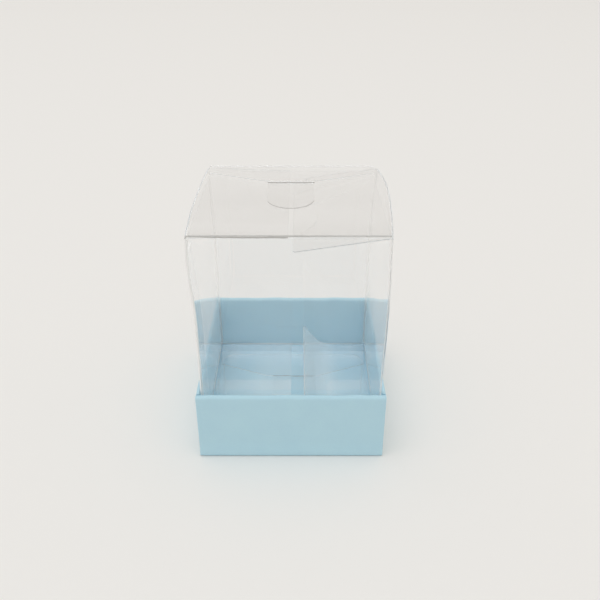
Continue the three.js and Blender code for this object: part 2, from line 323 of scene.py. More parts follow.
@dataclass(frozen=True)
class SeamlessPaper:
    """Warm white studio background paper, matt and even."""
    colour: str = "F0EEEB"
    roughness: float = 0.95
    specular: float = 0.1

    def material(self) -> bpy.types.Material:
        """Builds the node material.

        Returns:
            The material.
        """
        made, tree = new_material("seamless_paper")
        paper = add_node(tree, "ShaderNodeBsdfPrincipled", {
            "Base Color": hex_to_linear(self.colour), "Roughness": self.roughness,
            "Specular IOR Level": self.specular})
        add_node(tree, "ShaderNodeOutputMaterial", {"Surface": paper.outputs[0]})
        return made


# Folded sheets

@dataclass(frozen=True)
class FoldPath:
    """Mid-line of a folded sheet in the plane of its section.

    Attributes:
        points: Places on the line, one row each.
        lengths: Distance along the line to each of them.
    """
    points: Array
    lengths: Array

    @classmethod
    def of(cls, points: Array) -> "FoldPath":
        """Measures a line of points, without those that repeat the one before.

        Args:
            points: Places on the line, one row each.

        Returns:
            The path.
        """
        gaps = np.linalg.norm(np.diff(points, axis=0), axis=1)
        apart = gaps > SAME_POINT
        kept = np.concatenate([[True], apart])
        lengths = np.concatenate([[0], np.cumsum(gaps[apart])])
        return cls(points[kept], lengths)

    @classmethod
    def through(cls, corners: Sequence, radii: Sequence[float], step: float = 1.0,
                turn_step: float = 12.0) -> "FoldPath":
        """Joins straight runs by arcs.

        A corner is cut back by radius * tan(turn / 2) along both runs, and the arc between the two
        cuts swings about the point at radius / cos(turn / 2) from the corner on its bisector.

        Args:
            corners: The points that the runs meet in.
            radii: Radius at each corner but the first and last.
            step: Longest straight piece.
            turn_step: Largest turn of one facet, in degrees.

        Returns:
            The path.
        """
        corners = np.asarray(corners, float)
        parts = [corners[:1]]
        for before, corner, after, radius in zip(corners[:-2], corners[1:-1], corners[2:], radii):
            back = (before - corner) / np.linalg.norm(before - corner)
            ahead = (after - corner) / np.linalg.norm(after - corner)
            turn = math.pi - math.acos(float(np.clip(back @ ahead, -1, 1)))
            if radius == 0 or turn < NO_TURN:
                parts.append(corner[None])
                continue
            start = corner + back * radius * math.tan(turn / 2)
            bisector = (back + ahead) / np.linalg.norm(back + ahead)
            centre = corner + bisector * radius / math.cos(turn / 2)
            side = math.copysign(1, -back[0] * ahead[1] + back[1] * ahead[0])
            steps = max(2, math.ceil(math.degrees(turn) / turn_step))
            angle = np.linspace(0, turn * side, steps + 1)[:, None]
            arm = start - centre
            across = np.array([-arm[1], arm[0]])
            parts.append(centre + arm * np.cos(angle) + across * np.sin(angle))
        parts.append(corners[-1:])
        return cls.of(subdivide(np.vstack(parts), step))

    def at(self, lengths: Array) -> Array:
        """Places at the given distances along the line."""
        return np.stack([np.interp(lengths, self.lengths, self.points[:, i]) for i in (0, 1)], -1)

    def length_where(self, axis: int, value: Array, sign: int) -> Array:
        """Distance along the line where a coordinate that only grows, times sign, has a value."""
        return np.interp(sign * np.asarray(value), sign * self.points[:, axis], self.lengths)


def subdivide(line: Array, step: float) -> Array:
    """Adds points to a line, so that no piece is longer than step.

    Args:
        line: Points, one row each.
        step: Longest piece.

    Returns:
        The denser line.
    """
    apart = np.linalg.norm(np.diff(line, axis=0), axis=1) > SAME_POINT
    line = line[np.concatenate([[True], apart])]
    gaps = np.linalg.norm(np.diff(line, axis=0), axis=1)
    counts = np.maximum(np.ceil(gaps / step - NO_RUN), 1).astype(int)
    index = np.repeat(np.arange(len(gaps)), counts)
    share = (np.arange(len(index)) - np.repeat(np.cumsum(counts) - counts, counts)) / counts[index]
    added = line[index] + share[:, None] * (line[index + 1] - line[index])
    return np.vstack([added, line[-1:]])


def vertex_normals(points: Array, faces: Array) -> Array:
    """Mean of the unit normals of the faces round each point.

    A face's normal is the cross product of its diagonals, or of two sides of a triangle.

    Args:
        points: Places, one row each.
        faces: Point numbers of triangles or quads.

    Returns:
        A unit normal for each point.
    """
    corner = points[faces]
    if faces.shape[1] == 4:
        across = np.cross(corner[:, 2] - corner[:, 0], corner[:, 3] - corner[:, 1])
    else:
        across = np.cross(corner[:, 1] - corner[:, 0], corner[:, 2] - corner[:, 0])
    size = np.linalg.norm(across, axis=1, keepdims=True)
    across = across / np.maximum(size, LEAST_DIVISOR)
    total = np.zeros_like(points)
    for column in range(faces.shape[1]):
        np.add.at(total, faces[:, column], across)
    return total / np.maximum(np.linalg.norm(total, axis=1, keepdims=True), LEAST_DIVISOR)


def grid_faces(rows: int, columns: int) -> Array:
    """Quads of a grid whose points are numbered row by row."""
    index = np.arange(rows * columns).reshape(rows, columns)
    return np.stack([index[:-1, :-1], index[:-1, 1:], index[1:, 1:], index[1:, :-1]], -1).reshape(-1, 4)


def write_mesh(name: str, points: Array, polygons: list, slots: Array,
               materials: Sequence[bpy.types.Material], crease: float = 32.0) -> bpy.types.Object:
    """Writes points in millimetres as an object at the origin.

    Args:
        name: The piece's name.
        points: Places, one row each.
        polygons: Point numbers of each polygon.
        slots: Material slot of each polygon.
        materials: The materials, in slot order.
        crease: Angle between faces in degrees, over which the shading breaks.

    Returns:
        The new object.
    """
    mesh = bpy.data.meshes.new(name)
    mesh.from_pydata((points * MM).tolist(), [], polygons)
    for material in materials:
        mesh.materials.append(material)
    mesh.polygons.foreach_set("material_index", slots.astype(np.int32))
    mesh.shade_smooth()
    mesh.set_sharp_from_angle(angle=math.radians(crease))
    mesh.validate()
    made = bpy.data.objects.new(name, mesh)
    bpy.context.scene.collection.objects.link(made)
    return made


def thick_sheet(name: str, points: Array, faces: Array, thickness: float,
                materials: Sequence[bpy.types.Material], scored: Array | None = None,
                painted_dark: Array | None = None) -> bpy.types.Object:
    """Gives a mid-surface its thickness and closes it along its cut edge.

    Both sides lie half a thickness away along the point normals. Each side edge that only one
    face uses gets a quad between the two sides.

    Args:
        name: The piece's name.
        points: Points of the mid-surface.
        faces: Its triangles or quads.
        thickness: Of the sheet.
        materials: For the two sides, for the cut edge, for scored lines and for cut edges painted dark
            as painted shade.
        scored: Whether each face belongs to a scored line.
        painted_dark: Whether the cut edge at each point is painted dark, as painted shade.

    Returns:
        The closed piece.
    """
    normals = vertex_normals(points, faces)
    count = len(points)
    start, end = faces.ravel(), np.roll(faces, -1, axis=1).ravel()
    lone = ~np.isin(start * count + end, end * count + start)
    rim = np.stack([end[lone], start[lone], start[lone] + count, end[lone] + count], 1)
    both = np.vstack([points + normals * thickness / 2, points - normals * thickness / 2])
    polygons = faces.tolist() + (faces[:, ::-1] + count).tolist() + rim.tolist()
    sides = np.zeros(len(faces)) if scored is None else 2.0 * scored
    edges = np.ones(len(rim)) if painted_dark is None else 1.0 + 2.0 * (painted_dark[start[lone]] & painted_dark[end[lone]])
    slots = np.concatenate([sides, sides, edges])
    return write_mesh(name, both, polygons, slots, materials)


def mark_painted_sheen(piece: bpy.types.Object, shares: Array) -> None:
    """Stores the share of painted sheen at each point of a sheet's mid-surface, for both of its sides.
    """
    attribute = piece.data.attributes.new("rubbing", "FLOAT", "POINT")
    attribute.data.foreach_set("value", np.tile(shares, 2))


def inside(points: Array, loop: Array) -> Array:
    """Tells which points lie in a closed outline, by the count of edges that a ray crosses.

    Args:
        points: Places, one (x, y) a row.
        loop: Corners of the outline.

    Returns:
        Whether each point lies inside.
    """
    a, b = loop, np.roll(loop, -1, axis=0)
    x, y = points[:, 0, None], points[:, 1, None]
    spans = (a[:, 1] > y) != (b[:, 1] > y)
    rise = np.where(b[:, 1] == a[:, 1], 1.0, b[:, 1] - a[:, 1])
    crossing = a[:, 0] + (y - a[:, 1]) / rise * (b[:, 0] - a[:, 0])
    return (np.sum(spans & (x < crossing), axis=1) % 2).astype(bool)


def clearance(points: Array, loop: Array) -> Array:
    """Distance from each point to the nearest edge of a closed outline.

    The nearest place on an edge is its start plus a share of the edge: the arm from that start to
    the point, measured along the edge and divided by its length, and kept between 0 and 1.

    Args:
        points: Places, one (x, y) a row.
        loop: Corners of the outline.

    Returns:
        The distances.
    """
    along = np.roll(loop, -1, axis=0) - loop
    arm = points[:, None] - loop
    size = np.maximum(np.sum(along * along, -1), LEAST_DIVISOR)
    share = np.clip(np.sum(arm * along, -1) / size, 0, 1)
    return np.linalg.norm(arm - share[..., None] * along, axis=-1).min(axis=1)


def split_edges(loop: Array, rows: Array, columns: Array) -> Array:
    """Adds a point to a closed outline wherever it crosses a fold row or column.

    Args:
        loop: Corners of the outline, one (across, along) point a row.
        rows: Places of the rows along the blank.
        columns: Places of the columns across it.

    Returns:
        The denser outline.
    """
    parts = []
    for start, end in zip(loop, np.roll(loop, -1, axis=0)):
        run = end - start
        cuts = [np.zeros(1)]
        for axis, lines in ((0, columns), (1, rows)):
            if abs(run[axis]) > NO_RUN:
                cuts.append((lines - start[axis]) / run[axis])
        share = np.unique(np.round(np.concatenate(cuts), 6))
        room = CUT_ROOM / max(float(np.linalg.norm(run)), SAME_POINT)
        share = share[(share == 0) | ((share > room) & (share < 1 - room))]
        share = share[np.concatenate([[True], np.diff(share) > room])]
        parts.append(start + share[:, None] * run)
    return np.vstack(parts)


def cut_blank(outline: Array, rows: Array, columns: Array,
              holes: Sequence[Array] = ()) -> tuple[Array, Array]:
    """Cuts a flat blank into triangles, with points on every fold row and column.

    Args:
        outline: Closed outline, one (across, along) point a row.
        rows: Places along the blank that need points, such as its folds.
        columns: Places across the blank that need points.
        holes: Closed outlines that are cut out.

    Returns:
        The flat points and the triangles.
    """
    loops = [split_edges(np.asarray(loop, float), rows, columns) for loop in (outline, *holes)]
    grid = np.stack(np.meshgrid(columns, rows), -1).reshape(-1, 2)
    for number, loop in enumerate(loops):
        within = inside(grid, loop)
        grid = grid[(within if number == 0 else ~within) & (clearance(grid, loop) > INNER_ROOM)]
    edges, first = [], 0
    for loop in loops:
        index = np.arange(len(loop))
        edges += (np.stack([index, (index + 1) % len(loop)], 1) + first).tolist()
        first += len(loop)
    places = np.vstack([*loops, grid])
    cut = delaunay_2d_cdt([Vector(p) for p in places.tolist()], edges, [], 1, SAME_POINT)
    flat = np.array([tuple(p) for p in cut[0]])
    triangles = np.array(cut[2])
    middles = flat[triangles].mean(axis=1)
    kept = inside(middles, loops[0])
    for loop in loops[1:]:
        kept &= ~inside(middles, loop)
    return flat, triangles[kept]


def arc_points(centre: Sequence[float], radius: float, start: float, end: float,
               steps: int = 10) -> list[tuple[float, float]]:
    """Points on an arc, from one angle to another in degrees."""
    angle = np.radians(np.linspace(start, end, steps + 1))
    return list(zip(centre[0] + radius * np.cos(angle), centre[1] + radius * np.sin(angle)))


# Clear box

class Side(Enum):
    """The four sides of the box, with the axis that each faces along and its direction."""
    LEFT = (0, -1)
    RIGHT = (0, 1)
    FRONT = (1, -1)
    BACK = (1, 1)


@dataclass(frozen=True)
class Closure:
    """One end of the clear box, described from its outer face inwards.

    Attributes:
        name: What the frame's nodes call it.
        face: Height of its outer face at the creases.
        inward: Direction of the inside of the box.
        slit_y: Place of the slit.
        bulge: How far the lock flaps spring outwards.
        leans: Lean of the left and the right dust flap from level, in degrees.
        curls: How far the free part of each is bent up, in degrees.
        moves: Whether slit flap and tongue flap are baked in place, rather than attached to the sleeve.
    """
    name: str
    face: float
    inward: int
    slit_y: float
    bulge: float
    leans: tuple[float, float]
    curls: tuple[float, float]
    moves: bool


@dataclass(frozen=True)
class Swell:
    """Bulge of an upright crease: how far it stands out, at which height, and its reach."""
    amount: float
    height: float
    reach: float

    def at(self, z: Array) -> Array:
        """Distances outwards: a bell curve of the height."""
        return self.amount * np.exp(-((z - self.height) / self.reach) ** 2)


@dataclass
class ClearBox:
    """The clear folding box: one wrapped sheet of walls, and at each end four flaps.

    Sizes are in millimetres and angles in degrees. Pairs are for the left and the right, apart from
    curl_waves: the part of a half wave where the curl starts, and the part that it runs over.
    """
    pet: bpy.types.Material
    edge: bpy.types.Material
    score: bpy.types.Material
    worn_edge: bpy.types.Material
    dull_edge: bpy.types.Material
    hard_score: bpy.types.Material
    shaded_edge: bpy.types.Material
    rubbed: bpy.types.Material
    width: float = 50.0
    depth: float = 49.5
    top_face: float = 69.2
    sheet: float = 0.3
    sheet_gap: float = 0.12
    corner: float = 0.55
    crease: float = 0.3
    flap_inset: float = 0.3
    flap_taper: float = 0.5
    tongue_width: float = 12.8
    tongue_length: float = 17.8
    dive_angle: float = 60.0
    slit_room: float = 0.25
    shoulder: float = 6.5
    shoulder_step: float = 1.6
    slit_flap_length: float = 45.2
    slit_flap_corner: float = 4.0
    slit_flap_ease: float = 22.0
    ease_steps: int = 8
    slit_drop: float = 0.1
    base_bulge: float = 3.3
    bulge_run: float = 10.0
    dust_reach: float = 24.5
    dust_clearance: float = 0.3
    dust_corner: float = 0.9
    least_lean: float = 1.4
    curl_length: float = 10.9
    glue_width: float = 10.0
    glue_end: float = 4.0
    glue_taper: float = 1.5
    wall_under_crease: float = 0.5
    score_spread: float = 0.25
    score_band: float = 0.9
    bend_run: float = 0.9
    dull_tongue: float = 15.0
    dive_bend: float = 0.3
    past_tip: float = 1.0
    dust_bend_run: float = 2.5
    curl_steps: int = 12
    curl_waves: tuple[float, float] = (0.1, 0.55)
    facet: float = 1.3
    lock_columns: int = 37
    dust_columns: int = 33
    wall_facet: float = 1.2
    wall_rows: int = 56
    cut_edge_back: float = 0.32
    glue_gap: float = 0.02
    glue_from: float = 0.7
    glue_bend: float = 0.4
    glue_step: float = 0.6
    glue_step_run: float = 0.9
    side_sheen: float = 0.5
    side_sheen_top: float = 36.0
    side_sheen_fade: float = 10.0
    side_sheen_lead: float = 0.3
    side_sheen_room: float = 0.05
    sheen_run: float = 16.0
    sheen_fade: float = 9.0
    rubbing: tuple[float, float] = (0.27, 1.0)
    hard_from: float = 0.32
    seam: float = 0.03
    front_lift: float = 0.4
    front_lift_from: float = 15.0
    front_lift_run: float = 8.0
    bows: tuple[float, float] = (0.9, 1.7)
    bow_places: tuple[float, float] = (-5.0, 6.0)
    bow_foot: float = 34.0
    front_swells: tuple[Swell, Swell] = (Swell(0.75, 61.0, 9.5), Swell(0.5, 47.0, 17.0))
    back_swells: tuple[Swell, Swell] = (Swell(0.5, 66.0, 12.0), Swell(1.1, 68.0, 14.0))
    rest_height: float = 0.55

    def __post_init__(self) -> None:
        """Works out the places that follow from the sizes."""
        self.layer = self.sheet + self.sheet_gap
        self.mid_x = (self.width - self.sheet) / 2
        self.mid_y = (self.depth - self.sheet) / 2
        self.top = Closure("top", face=self.top_face, inward=-1, slit_y=11.55, bulge=0.0,
                           leans=(self.least_lean, 9.4), curls=(0.0, 0.0), moves=True)
        self.base = Closure("base", face=self.rest_height + self.base_bulge, inward=1, slit_y=9.75,
                            bulge=self.base_bulge, leans=(0.0, 0.0), curls=(0.0, 56.0), moves=False)

    def level(self, end: Closure, layers: float) -> float:
        """Height of the middle of a sheet so many layers inside the closure's outer face."""
        return end.face + end.inward * (self.sheet / 2 + layers * self.layer)

    def dust_hinge(self, end: Closure) -> float:
        """Height of the dust flaps' axis, on the inner faces of side wall and flap.

        It lies so far outwards that a flap with the least lean just clears the tongue's side edge.

        Args:
            end: The closure.

        Returns:
            The height.
        """
        span = self.width / 2 - self.sheet - self.tongue_width / 2
        rise = span * math.sin(math.radians(self.least_lean))
        return self.level(end, 3) + end.inward * (self.sheet / 2 - rise)

    def wall_edge(self, end: Closure, side: Side) -> float:
        """Height at which a wall ends and its flap's piece begins, short of the crease.

        Args:
            end: The closure that the flap belongs to.
            side: The wall's side.

        Returns:
            The height.
        """
        if side in (Side.LEFT, Side.RIGHT):
            crease = self.dust_hinge(end) - end.inward * self.sheet / 2
        else:
            crease = self.level(end, 0) + end.inward * (self.slit_drop if side is Side.FRONT else 0)
        return crease + end.inward * self.wall_under_crease

    def side_bow(self, side: Side, y: Array, z: Array) -> Array:
        """How far a side wall stands out past its plane.

        Near the top it bows out between its creases, and the bow fades downwards. Along the depth
        the bow is two halves of parabolas that meet at its place, times an eased step of the
        height. The upright creases swell out as well, each by a bell curve of the height, and the
        swell between them eases from the front crease's to the back crease's.

        Args:
            side: LEFT or RIGHT.
            y: Places along the depth.
            z: Heights.

        Returns:
            The distances outwards.
        """
        which = 0 if side is Side.LEFT else 1
        place = self.bow_places[which]
        reach = np.where(y < place, place + self.mid_y, self.mid_y - place)
        share = 1 - np.clip((y - place) / reach, -1, 1) ** 2
        high = smooth((z - self.bow_foot) / (self.top_face - self.bow_foot))
        back = smooth((y + self.mid_y) / (2 * self.mid_y))
        swell = self.front_swells[which].at(z) * (1 - back) + self.back_swells[which].at(z) * back
        return self.bows[which] * share * high + swell

    def bulge_at(self, end: Closure, y: Array) -> Array:
        """Height by which the lock flaps spring outwards: a quarter sine wave from each crease."""
        share = np.clip((self.mid_y - np.abs(y)) / self.bulge_run, 0, 1)
        return end.bulge * np.sin(np.pi / 2 * share)

    def sleeve(self) -> bpy.types.Object:
        """Wraps the four walls and the glue flap from one sheet.

        The plan path starts at the left wall's cut edge in the front corner, turns round the four
        corners and ends in the glue flap inside the left wall. The surface is that path carried
        from a low to a high edge, which both vary along the path.

        Returns:
            The walls.
        """
        x, y, r, bend = self.mid_x, self.mid_y, self.corner, self.glue_bend
        inner_x = x - self.sheet - self.glue_gap
        glue_back = -self.depth / 2 + self.glue_from + self.glue_width
        corners = [(-x, -y + self.cut_edge_back), (-x, y), (x, y), (x, -y), (-inner_x, -y),
                   (-inner_x, glue_back)]
        path = FoldPath.through(corners, [r, r, r, bend], step=self.wall_facet, turn_step=10)
        plan = path.points
        low_side, high_side = (self.wall_edge(end, Side.LEFT) for end in (self.base, self.top))
        low_front, high_front = (self.wall_edge(end, Side.FRONT) for end in (self.base, self.top))
        low_back, high_back = (self.wall_edge(end, Side.BACK) for end in (self.base, self.top))
        # Distances along the path at the ends of each corner's arc
        arcs = [path.lengths[np.argmin(np.hypot(*(plan - p).T))] for p in (
            (-x, y - r), (-x + r, y), (x - r, y), (x, y - r), (x, -y + r), (x - r, -y),
            (-inner_x + bend, -y), (-inner_x, -y + bend), (-inner_x, -y + self.glue_step_run),
            (-inner_x, glue_back))]
        low_glue, high_glue = low_side + self.glue_end, high_side - self.glue_end
        lows = [low_side, low_back, low_back, low_side, low_side, low_front,
                low_front, low_front + self.glue_step, low_glue, low_glue + self.glue_taper]
        highs = [high_side, high_back, high_back, high_side, high_side, high_front,
                 high_front, high_front - self.glue_step, high_glue, high_glue - self.glue_taper]
        low = np.interp(path.lengths, arcs, lows) + self.seam
        high = np.interp(path.lengths, arcs, highs) - self.seam
        rise = np.linspace(0, 1, self.wall_rows)[:, None]
        z = low + rise * (high - low)
        px = np.broadcast_to(plan[:, 0], z.shape).copy()
        py = np.broadcast_to(plan[:, 1], z.shape)
        # The fronts and backs stretch evenly between the side walls' creases
        share = np.clip(px / (x - r), -1, 1)
        left, right = self.side_bow(Side.LEFT, py, z), self.side_bow(Side.RIGHT, py, z)
        px += np.where(px < 0, left, right) * share
        points = np.stack([px, py, z], -1).reshape(-1, 3)
        faces = grid_faces(*z.shape)
        middles = (path.lengths[1:] + path.lengths[:-1]) / 2
        turning = np.zeros(len(middles), bool)
        # The sheet is scored between the ends of each crease's arc and a little past them
        spread = self.score_spread
        for first, last in ((0, 1), (2, 3), (4, 5), (6, 8)):
            turning |= (middles > arcs[first] - spread) & (middles < arcs[last] + spread)
        scored = np.tile(turning, len(rise) - 1)
        made = thick_sheet("clear_walls", points, faces, self.sheet,
                           (self.rubbed, self.edge, self.score), scored)
        # Low on their back halves, the side walls get a painted sheen, a whitish veil in place of
        # reflected light
        low = smooth((self.side_sheen_top - points[:, 2]) / self.side_sheen_fade)
        back = smooth(points[:, 1] / self.side_sheen_fade + self.side_sheen_lead)
        on_side = np.abs(points[:, 0]) > x - self.side_sheen_room
        mark_painted_sheen(made, self.side_sheen * low * back * on_side)
        return made

    def sprung(self, end: Closure, path: FoldPath) -> FoldPath:
        """Moves a lock flap's path of (y, z) outwards by the closure's bulge."""
        rise = -end.inward * self.bulge_at(end, path.points[:, 0])
        return FoldPath.of(path.points + np.column_stack([np.zeros(len(rise)), rise]))

    def lock_piece(self, name: str, outline: Array, path: FoldPath, holes: Sequence[Array] = (),
                   hard: bool = False) -> bpy.types.Object:
        """Cuts a lock flap and folds it over its path in the plane of depth and height.

        The cut edges of its holes are painted dark grey as painted shade, or those of the tongue if it
        has no holes.

        Args:
            name: The piece's name.
            outline: Closed outline of (x, distance along the path).
            path: The folded path of (y, z).
            holes: Outlines that are cut out.
            hard: Whether its crease is pressed hard and narrow, and painted grey as painted shade.

        Returns:
            The folded piece.
        """
        columns = np.linspace(-self.width / 2, self.width / 2, self.lock_columns)
        flat, triangles = cut_blank(outline, path.lengths[1:-1], columns, holes)
        yz = path.at(flat[:, 1])
        points = np.column_stack([flat[:, 0], yz])
        # Painted shade: these cut edges get the dark grey finish
        tongue = flat[:, 1] > path.lengths[-1] - self.dull_tongue
        painted_dark = np.zeros(len(flat), bool) if holes else tongue
        for hole in holes:
            painted_dark |= clearance(flat, hole) < ON_CUT
        crease = self.hard_score if hard else self.score
        along = flat[triangles][:, :, 1].mean(axis=1)
        scored = (along > (self.hard_from if hard else 0)) & (along < self.score_band)
        return thick_sheet(name, points, triangles, self.sheet,
                           (self.pet, self.edge, crease, self.dull_edge), scored, painted_dark)

    def tongue_flap(self, end: Closure) -> bpy.types.Object:
        """Folds the outermost panel with its shoulders, and its tongue that dives through the slit.

        Args:
            end: The closure that it belongs to.

        Returns:
            The folded piece.
        """
        outer, under = self.level(end, 0), self.level(end, 2)
        run = 2 * self.layer / math.tan(math.radians(self.dive_angle))
        start = self.wall_edge(end, Side.BACK)
        tip = end.slit_y - self.tongue_length
        corners = [(self.mid_y, start), (self.mid_y, outer), (end.slit_y + run / 2, outer),
                   (end.slit_y - run / 2, under), (tip - self.past_tip, under)]
        radii = [self.crease, self.dive_bend, self.dive_bend]
        path = self.sprung(end, FoldPath.through(corners, radii, step=self.facet))
        half, root = self.tongue_width / 2, self.width / 2 - self.flap_inset
        shoulder_y = end.slit_y + run / 2 + self.sheet
        plan = [(-root, self.mid_y), (-root + self.flap_taper, shoulder_y + self.shoulder),
                (-half - self.shoulder_step, shoulder_y), (-half, shoulder_y),
                *arc_points((0, tip + half), half, 180, 360, steps=24),
                (half, shoulder_y), (half + self.shoulder_step, shoulder_y),
                (root - self.flap_taper, shoulder_y + self.shoulder), (root, self.mid_y)]
        plan = np.array(plan)
        along = path.length_where(0, plan[:, 1], -1)
        along[0] = along[-1] = 0
        outline = np.column_stack([plan[:, 0], along])
        return self.lock_piece(f"clear_{end.name}_tongue_flap", outline, path)

    def slit_flap(self, end: Closure) -> bpy.types.Object:
        """Folds the panel that covers the tongue, with the slit across it.

        It eases from its crease down to its level by half a cosine wave.

        Args:
            end: The closure that it belongs to.

        Returns:
            The folded piece.
        """
        start = self.wall_edge(end, Side.FRONT)
        crease = self.level(end, 0) + end.inward * self.slit_drop
        flat_level = self.level(end, 1)
        free = self.slit_flap_length - self.depth / 2
        share = np.linspace(0, 1, self.ease_steps + 1)[1:]
        eased = crease + (flat_level - crease) * (1 - np.cos(np.pi * share)) / 2
        easing = list(zip(-self.mid_y + self.slit_flap_ease * share, eased))
        corners = [(-self.mid_y, start), (-self.mid_y, crease), *easing, (free, flat_level)]
        radii = [self.crease] + [0] * len(easing)
        path = self.sprung(end, FoldPath.through(corners, radii, step=self.facet))
        root = self.width / 2 - self.flap_inset
        c = self.slit_flap_corner
        corner_x = root - self.flap_taper - c
        plan = np.array([(-root, -self.mid_y), (root, -self.mid_y),
                         *arc_points((corner_x, free - c), c, 0, 90, steps=8),
                         *arc_points((-corner_x, free - c), c, 90, 180, steps=8)])
        along = path.length_where(0, plan[:, 1], 1)
        along[0] = along[1] = 0
        outline = np.column_stack([plan[:, 0], along])
        dive = math.radians(self.dive_angle)
        half_slit = (self.sheet / math.sin(dive) + self.sheet / math.tan(dive)) / 2 + self.sheet_gap
        edges = np.array([end.slit_y - half_slit, end.slit_y + half_slit])
        near, far = path.length_where(0, edges, 1)
        reach = self.tongue_width / 2 + self.slit_room
        slit = np.array([(-reach, near), (reach, near), (reach, far), (-reach, far)])
        return self.lock_piece(f"clear_{end.name}_slit_flap", outline, path, [slit],
                               hard=end is self.top)

    def dust_flap(self, end: Closure, side: Side) -> bpy.types.Object:
        """Folds a dust flap in from its side wall, and follows the wall's bow at its root.

        Where its free part is curled, the slope grows and falls back along it as part of a sine
        wave.

        Args:
            end: The closure that it belongs to.
            side: LEFT or RIGHT.

        Returns:
            The folded piece.
        """
        sign = side.value[1]
        which = 0 if side is Side.LEFT else 1
        lean, curl = math.radians(end.leans[which]), math.radians(end.curls[which])
        start = self.wall_edge(end, side)
        crease = self.dust_hinge(end) - end.inward * self.sheet / 2
        reach = self.dust_reach - (self.curl_length if curl else 0)

        def ahead(slope: float) -> Array:
            """Direction in which the flap runs inwards at a slope."""
            return np.array([-sign * math.cos(slope), end.inward * math.sin(slope)])

        corners = [np.array([sign * self.mid_x, start]), np.array([sign * self.mid_x, crease])]
        corners.append(corners[-1] + reach * ahead(lean))
        if curl:
            steps, (first, gain) = self.curl_steps, self.curl_waves
            share = (np.arange(steps) + 0.5) / steps
            for slope in lean + curl * np.sin(np.pi * (first + gain * share)):
                corners.append(corners[-1] + self.curl_length / steps * ahead(float(slope)))
        radii = [self.crease] + [0] * (len(corners) - 3)
        path = FoldPath.through(corners, radii, step=self.facet)
        total = path.lengths[-1]
        half = self.depth / 2 - self.sheet - self.dust_clearance
        free = half - self.flap_taper - self.dust_corner
        c = self.dust_corner
        outline = np.array([(-half, 0), (half, 0),
                            *arc_points((free, total - c), c, 0, 90, steps=6),
                            *arc_points((-free, total - c), c, 90, 180, steps=6)])
        columns = np.linspace(-self.mid_y, self.mid_y, self.dust_columns)
        flat, triangles = cut_blank(outline, path.lengths[1:-1], columns)
        xz = path.at(flat[:, 1])
        y = flat[:, 0]
        bow = sign * self.side_bow(side, y, np.full(len(y), start))
        root = bow * (1 - smooth(flat[:, 1] / total))
        z = xz[:, 1]
        top_left = end is self.top and side is Side.LEFT
        if top_left:
            z = z + self.front_lift * smooth((-y - self.front_lift_from) / self.front_lift_run)
        points = np.column_stack([xz[:, 0] + root, y, z])
        name = f"clear_{end.name}_{side.name.lower()}_dust_flap"
        scored = flat[triangles][:, :, 1].mean(axis=1) < self.score_band
        # Painted shade: the top left flap's front cut edge gets the darker grey finish
        shaded = (y < -free) & top_left
        # The base's dust flaps take the sheet with painted sheen
        pet = self.rubbed if end is self.base else self.pet
        made = thick_sheet(name, points, triangles, self.sheet,
                           (pet, self.worn_edge, self.score, self.shaded_edge), scored, shaded)
        if end is self.base:
            # Painted sheen on the free part, where it reflects the bright sky, and none on its crease
            free_part = smooth((flat[:, 1] - total + self.sheen_run) / self.sheen_fade)
            mark_painted_sheen(made, free_part * self.rubbing[which])
        return made

    def hang(self, piece: bpy.types.Object, node: str) -> None:
        """Bakes a flap's piece in place, and hides the node that it stands for.

        Args:
            piece: The flap.
            node: The flap's node, which is also the name of its body.
        """
        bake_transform(piece)
        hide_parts(node)

    def build(self) -> list[bpy.types.Object]:
        """Makes the walls and the eight flaps, hides the nodes that they stand for, and sets the sleeve
        under the walls and the base's lock flaps.

        Returns:
            The pieces.
        """
        walls = self.sleeve()
        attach(walls, "sleeve")
        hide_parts("box_front_wall", "box_back_wall", "box_left_wall", "box_right_wall",
                    "box_glue_flap")
        made = [walls]
        for end in (self.top, self.base):
            for side, piece in ((Side.FRONT, self.slit_flap(end)), (Side.BACK, self.tongue_flap(end))):
                node = piece.name.replace("clear_", "")
                if end.moves:
                    self.hang(piece, node)
                else:
                    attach(piece, "sleeve")
                    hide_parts(node)
                made.append(piece)
            for side in (Side.LEFT, Side.RIGHT):
                piece = self.dust_flap(end, side)
                node = piece.name.replace("clear_", "")
                self.hang(piece, node)
                made.append(piece)
        return made


# Card tray

